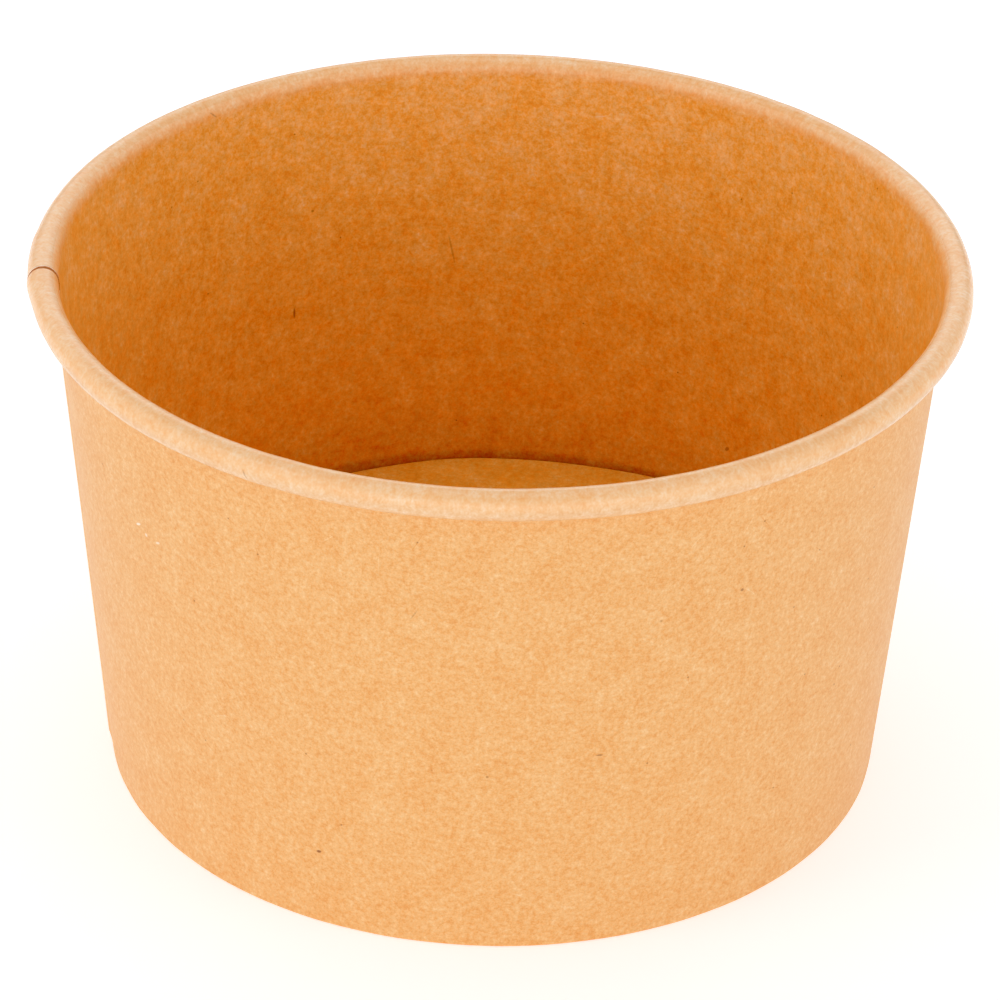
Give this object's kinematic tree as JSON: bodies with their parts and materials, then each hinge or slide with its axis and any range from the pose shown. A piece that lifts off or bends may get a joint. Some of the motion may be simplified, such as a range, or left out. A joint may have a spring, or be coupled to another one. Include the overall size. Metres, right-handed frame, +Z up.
{
  "type": "paper ice cream tub",
  "caption": "Low round tub of brown kraft board for ice cream: tapered wall with a lap seam, outward-rolled rim, and a raised floor disc held in the folded base.",
  "frame": {"origin": "on the tub's axis, on the surface it stands on", "axes": "+Z up along the tub's axis, towards the open rim; the side seam is on the -X side, with the lap from 176 to 186 degrees counter-clockwise from +X"},
  "size_m": [0.0951, 0.095, 0.0561],
  "materials": {
    "wall_board": "matte",
    "disc_board": "matte"
  },
  "bodies": {
    "root": {"side_wall": "wall_board", "base_disc": "disc_board"}
  },
  "joints": []
}
